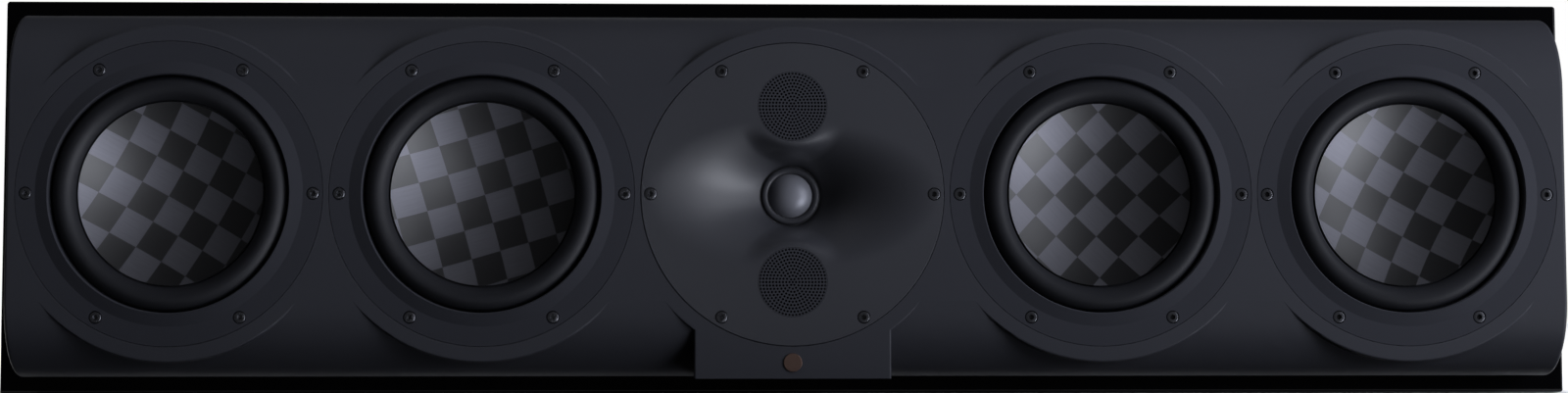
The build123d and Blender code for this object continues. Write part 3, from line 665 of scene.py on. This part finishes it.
# %% [markdown]
# The grilles in front of the two midrange domes are thin sheet with rings of round holes, six more in each
# ring. One small prism is copied round by spin, ring after ring, and the whole set of prisms is cut out of a
# disc at once.

# %% Perforated grilles
GRILLE_RINGS = 10
GRILLE_SIDES = 96
GRILLE_PITCH = 1.95 * MM
GRILLE_HOLE = 0.70 * MM
HOLE_SIDES = 8
HOLE_STEP = 6
PIN_LENGTHS = 4
PICK_ROOM = 1.5
FACING_FRONT = (pi / 2, 0, 0)


def place_zero(piece):
    """Put the piece's place into its mesh, with the object itself at the origin."""
    choose(piece)
    bpy.ops.object.transform_apply(location=True, rotation=True, scale=True)


def round_bar(sides, radius, length, middle):
    """A cylinder that points out of the front, with its place in its mesh."""
    clear_selection()
    bpy.ops.mesh.primitive_cylinder_add(
        vertices=sides, radius=radius, depth=length, location=middle, rotation=FACING_FRONT
    )
    piece = bpy.context.object
    place_zero(piece)
    return piece


def pick(piece, wanted, kind="VERT"):
    """In edit mode, select the vertices or faces whose place passes the test."""
    bpy.ops.object.mode_set(mode="OBJECT")
    bpy.context.tool_settings.mesh_select_mode = (kind == "VERT", False, kind == "FACE")
    for vertex in piece.data.vertices:
        vertex.select = kind == "VERT" and wanted(vertex.co)
    for edge in piece.data.edges:
        edge.select = False
    for face in piece.data.polygons:
        face.select = kind == "FACE" and wanted(face.center)
    bpy.ops.object.mode_set(mode="EDIT")


def hole_pins(axis, thickness):
    """One object that holds a prism for every hole."""
    pins = round_bar(HOLE_SIDES, GRILLE_HOLE, PIN_LENGTHS * thickness, axis)
    near_axis = (PICK_ROOM * GRILLE_HOLE) ** 2
    edit_all(pins)
    for ring in range(1, GRILLE_RINGS + 1):
        pick(pins, lambda place: (place.x - axis[0]) ** 2 + (place.z - axis[2]) ** 2 < near_axis)
        bpy.ops.mesh.duplicate_move(TRANSFORM_OT_translate={"value": (ring * GRILLE_PITCH, 0, 0)})
        copy_round(HOLE_STEP * ring, axis)
    bpy.ops.object.mode_set(mode="OBJECT")
    return pins


def grille(name):
    low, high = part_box(name)
    thickness = high.y - low.y
    middle = (0.0, (low.y + high.y) / 2, (low.z + high.z) / 2)
    piece = round_bar(GRILLE_SIDES, (high.x - low.x) / 2, thickness, middle)
    piece.name = f"drilled_{name}"
    cut_away(piece, hole_pins(middle, thickness))
    close_mesh(piece)
    shade(piece)
    wear(piece, FINISHES["grille_black"])
    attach(piece, "cabinet")
    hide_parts(name)
    return piece


for name in ("upper_mid_grille", "lower_mid_grille"):
    print(name, "faces", len(grille(name).data.polygons))

# %% [markdown]
# The tweeter is a foil dome inside a soft black roll. They are two pieces on the bench, so they are two here:
# a thin cap, and a ring whose half-round top carries it. Both are turned on the tweeter's axis, at the depth
# of the solid that they stand for.

# %% Tweeter dome
DOME_RADIUS = 13.5 * MM
DOME_RISE = 6.5 * MM
DOME_WALL = 0.8 * MM
DOME_BASE = 1.0 * MM
DOME_ROLL = (4.2 * MM, 1.6 * MM)
DOME_GLUE = 0.3 * MM
DOME_STEPS = 16
DOME_TURN = 96


def foil_dome(seat):
    ball = (DOME_RADIUS ** 2 + DOME_RISE ** 2) / (2 * DOME_RISE)
    centre = seat + DOME_RISE - ball
    edge = DOME_RADIUS - DOME_GLUE
    places = [edge * step / DOME_STEPS for step in range(DOME_STEPS + 1)]
    cap = [(out, centre + sqrt(ball ** 2 - out ** 2)) for out in places]
    hollow = [(out, centre - DOME_WALL + sqrt(ball ** 2 - out ** 2)) for out in places]
    foil = turned_piece("foil_dome", cap + hollow[::-1], MIDDLE_AXIS, DOME_TURN)
    shade(foil)
    wear(foil, FINISHES["dome_grey"])
    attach(foil, "cabinet")
    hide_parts("tweeter_dome")
    return foil


def dome_roll(rim, foot, seat):
    wide, rise = DOME_ROLL
    half = wide / 2
    outline = roll((DOME_RADIUS + half, seat), half, rise, HALF_TURN, 0, DOME_STEPS)
    outline += [(rim, seat), (rim, foot), (DOME_RADIUS, foot), (DOME_RADIUS, seat)]
    ring = turned_piece("dome_roll", outline, MIDDLE_AXIS, DOME_TURN)
    shade(ring)
    wear(ring, FINISHES["roll_satin"])
    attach(ring, "cabinet")
    return ring


TWEETER_LOW, TWEETER_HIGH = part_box("tweeter_dome")
TWEETER_FOOT = FRONT_Y - TWEETER_HIGH.y
TWEETER_SEAT = TWEETER_FOOT + DOME_BASE
TWEETER_RIM = (TWEETER_HIGH.x - TWEETER_LOW.x) / 2
for piece in (foil_dome(TWEETER_SEAT), dome_roll(TWEETER_RIM, TWEETER_FOOT, TWEETER_SEAT)):
    print(piece.name, "faces", len(piece.data.polygons))

# %% [markdown]
# Thirty socket screws hold the five units. One is modelled whole: a cylinder with an eased head, a shank
# drawn out of its underside, and a hexagon cut into the top. Spin copies it round a unit, and the ring of six
# is copied to the other four.

# %% Screws
SCREW_HEAD = (3.5 * MM, 3.2 * MM)
SCREW_SIDES = 32
SCREW_SINK = 0.3 * MM
SCREW_SHANK = (2.0 * MM, 22.0 * MM)
SCREW_SOCKET = (3.0 * MM, 1.8 * MM)
SOCKET_SIDES = 6
HEAD_EASE = 0.5 * MM
EASE_STEPS = 3


def screw(axis):
    """One screw on the left of a unit, with its head just under the flange's face."""
    head_radius, head_tall = SCREW_HEAD
    head_y = axis[1] + SCREW_SINK
    x, z = axis[0] - SCREW_CIRCLE, axis[2]
    piece = round_bar(SCREW_SIDES, head_radius, head_tall, (x, head_y + head_tall / 2, z))
    edit_all(piece)
    pick(piece, lambda place: place.y > head_y + head_tall - NEAR, "FACE")
    bpy.ops.mesh.inset(thickness=head_radius - SCREW_SHANK[0])
    bpy.ops.mesh.extrude_region_move(TRANSFORM_OT_translate={"value": (0, SCREW_SHANK[1], 0)})
    pick(piece, lambda place: place.y < head_y + NEAR, "FACE")
    bpy.ops.mesh.bevel(offset=HEAD_EASE, segments=EASE_STEPS, affect="EDGES")
    bpy.ops.object.mode_set(mode="OBJECT")
    wide, deep = SCREW_SOCKET
    cut_away(piece, round_bar(SOCKET_SIDES, wide / sqrt(3), 2 * deep, (x, head_y, z)))
    return piece


def screw_set():
    first = WOOFER_AXES[1]
    piece = screw(first)
    piece.name = "socket_screws"
    edit_all(piece)
    copy_round(SCREWS_EACH, first)
    for axis in [MIDDLE_AXIS] + [WOOFER_AXES[number] for number in WOOFERS[1:]]:
        pick(piece, lambda place: abs(place.x - first[0]) < SCREW_CIRCLE + 2 * SCREW_HEAD[0])
        bpy.ops.mesh.duplicate_move(TRANSFORM_OT_translate={"value": (axis[0] - first[0], 0, 0)})
    close_mesh(piece)
    shade(piece)
    wear(piece, FINISHES["screw_black"])
    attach(piece, "cabinet")
    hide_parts("driver_screws")
    return piece


print("screws, faces", len(screw_set().data.polygons))

# %% [markdown]
# The solids that stay visible take the finish of their own slot, as the record names it. The two midrange
# domes lie in the dark behind their grilles, so they get a near-black finish, a painted shade, and the holes
# in front of them read as black.

# %% Finish on the solids


def dress(node, skin):
    for slot in frame["nodes"][node].material_slots:
        slot.material = skin


for row in frame["record"]["subparts"]:
    if row["material_slot"] in FINISHES:
        dress(row["node"], FINISHES[row["material_slot"]])
# Painted shade: the midrange domes get the near-black finish for the dark behind their grilles.
for name in ("upper_mid_dome", "lower_mid_dome"):
    dress(name, FINISHES["dome_dark"])

# %% [markdown]
# The light is a studio's. A strong light comes from low on the right and a weaker one from a little above it,
# so that every hollow is bright on its left wall and dark on its right. Both are far lights, which fall alike
# on all four woofers. A panel near the right end makes the front grow lighter from left to right, and a long
# panel hangs over the front edge and picks out the upper roll of the baffle. These two only wash the
# surfaces, and leave no reflection of their own. The camera sees the left cones at an angle that catches less
# of the far lights, so a small box with a grid adds sheen there. The room behind the camera is dark, and the
# backdrop behind the speaker is white.

# %% Lamps
HEART = (0.0, FRONT_Y, MIDDLE_AXIS[2])
COOL_WHITE = (0.87, 0.90, 1.0)
SOFT_WHITE = (0.97, 0.98, 1.0)
FAR_SPREAD = 38.0
GRID_SPREAD = 30.0


def panel(name, place, aim, size, watts, colour):
    """A soft rectangular lamp that faces a point."""
    clear_selection()
    bpy.ops.object.light_add(type="AREA", location=place)
    lamp = bpy.context.object
    lamp.name = name
    lamp.data.shape = "RECTANGLE"
    lamp.data.size, lamp.data.size_y = size
    lamp.data.energy = watts
    lamp.data.color = colour
    away = lamp.location - Vector(aim)
    lamp.rotation_euler = away.to_track_quat("Z", "Y").to_euler()
    return lamp


def far_light(name, turn, height, strength):
    """A light from so many degrees right of the front and above it, far away, so it falls alike on all."""
    clear_selection()
    bpy.ops.object.light_add(type="SUN")
    lamp = bpy.context.object
    lamp.name = name
    lamp.data.energy = strength
    lamp.data.angle = radians(FAR_SPREAD)
    lamp.data.color = COOL_WHITE
    turn, height = radians(turn), radians(height)
    toward = Vector((sin(turn) * cos(height), -cos(turn) * cos(height), sin(height)))
    lamp.rotation_euler = toward.to_track_quat("Z", "Y").to_euler()


far_light("low_right_light", turn=60.0, height=-26.0, strength=2.10)
far_light("high_right_light", turn=58.0, height=14.0, strength=0.70)
right_wash = panel("right_wash", (1.32, -0.92, 0.41), HEART, size=(0.7, 0.6), watts=30.0, colour=COOL_WHITE)
top_panel = panel("top_panel", (0.0, -0.80, 1.6), HEART, size=(2.4, 0.5), watts=16.5, colour=SOFT_WHITE)
for lamp in (right_wash, top_panel):
    lamp.visible_glossy = False
left_sheen = panel("left_sheen", (0.15, -1.15, -0.08), WOOFER_AXES[1], size=(0.3, 0.3), watts=0.095,
                   colour=COOL_WHITE)
left_sheen.data.spread = radians(GRID_SPREAD)
left_sheen.visible_diffuse = False

# %% [markdown]
# The floor is a plain pale board. It glows a little where the camera, a mirror or glass looks at it, so that
# it meets the white backdrop. The glow fades out close to the cabinet: a painted shade round its foot, in
# which the speaker's real shadow also shows.

# %% Floor
FLOOR_SIZE = (3.0, 2.4)
FLOOR_FRONT = -0.146
FLOOR_DROP = 0.5 * MM
FLOOR_GLOW = 0.8
SHADOW_REACH = 0.03


def board(name, size, place, skin):
    """A flat piece of the stage."""
    clear_selection()
    bpy.ops.mesh.primitive_plane_add(size=1.0, location=place)
    piece = bpy.context.object
    piece.name = name
    piece.scale = (*size, 1.0)
    place_zero(piece)
    piece.data.materials.append(skin)
    return piece


def mirror_rays(tree, rays):
    """1 for what a mirror or glass looks at."""
    return math_node(tree, "MAXIMUM", rays.outputs["Is Glossy Ray"], rays.outputs["Is Transmission Ray"])


def add_glow(material):
    tree = material.node_tree
    skin = tree.nodes["Principled BSDF"]
    skin.inputs["Emission Strength"].default_value = FLOOR_GLOW
    rays = tree.nodes.new("ShaderNodeLightPath")
    looked_at = math_node(tree, "MAXIMUM", rays.outputs["Is Camera Ray"], mirror_rays(tree, rays))
    sides = tree.nodes.new("ShaderNodeSeparateXYZ")
    tree.links.new(tree.nodes.new("ShaderNodeTexCoord").outputs["Object"], sides.inputs[0])
    past = []
    for index, axis in enumerate(("X", "Y")):
        half = max(abs(corner[index]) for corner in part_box("cabinet_shell"))
        past.append(math_node(tree, "SUBTRACT", math_node(tree, "ABSOLUTE", sides.outputs[axis]), half))
    # Painted shade: the glow fades to nothing within SHADOW_REACH of the cabinet, so the floor is darker
    # round its foot.
    painted_shade_fade = tree.nodes.new("ShaderNodeMapRange")
    painted_shade_fade.inputs["From Max"].default_value = SHADOW_REACH
    tree.links.new(math_node(tree, "MAXIMUM", *past), painted_shade_fade.inputs["Value"])
    glow = math_node(tree, "MULTIPLY", looked_at, painted_shade_fade.outputs["Result"])
    tree.links.new(glow, skin.inputs["Emission Color"])


pale = finish("floor_pale", (0.80, 0.80, 0.80), 0.7, drift=0.02)
add_glow(pale)
floor = board("pale_floor", FLOOR_SIZE, (0, FLOOR_FRONT + FLOOR_SIZE[1] / 2, -FLOOR_DROP), pale)
print("stage:", floor.name)

# %% [markdown]
# A black strip lies just below the picture, as a photographer's flag does, and keeps the low light off the
# lower roll of the baffle. It only casts a shade, so it is left out of every view.

# %% Flag
FLAG_SIZE = (1.6, 0.06)
FLAG_PLACE = (0.0, -0.225, -0.025)

flag_black = finish("flag_black", (0.001, 0.001, 0.001), 0.9, specular=0.0)
flag = board("black_flag", FLAG_SIZE, FLAG_PLACE, flag_black)
flag.visible_camera = False
print("stage:", flag.name)

# %% [markdown]
# The world is white where the camera looks, and behind the speaker it is white for a mirror or glass too, as
# a lit backdrop is. It is dim for all other light, because the lamps do the lighting.

# %% World
DIM = 0.02
BACKDROP_FROM, BACKDROP_FULL = 0.75, 0.98

world = bpy.data.worlds.new("white_backdrop")
bpy.context.scene.world = world
world.use_nodes = True
sky = world.node_tree
rays = sky.nodes.new("ShaderNodeLightPath")
direction = sky.nodes.new("ShaderNodeTexCoord")
parts = sky.nodes.new("ShaderNodeSeparateXYZ")
sky.links.new(direction.outputs["Generated"], parts.inputs[0])
behind = sky.nodes.new("ShaderNodeMapRange")
behind.inputs["From Min"].default_value = BACKDROP_FROM
behind.inputs["From Max"].default_value = BACKDROP_FULL
sky.links.new(parts.outputs["Y"], behind.inputs["Value"])
mirrored = math_node(sky, "MULTIPLY", mirror_rays(sky, rays), behind.outputs["Result"])
tone = sky.nodes.new("ShaderNodeMixRGB")
tone.inputs["Color1"].default_value = (DIM, DIM, DIM, 1.0)
tone.inputs["Color2"].default_value = (1.0, 1.0, 1.0, 1.0)
sky.links.new(math_node(sky, "MAXIMUM", rays.outputs["Is Camera Ray"], mirrored), tone.inputs["Fac"])
sky.links.new(tone.outputs["Color"], sky.nodes["Background"].inputs["Color"])
print("world:", world.name)
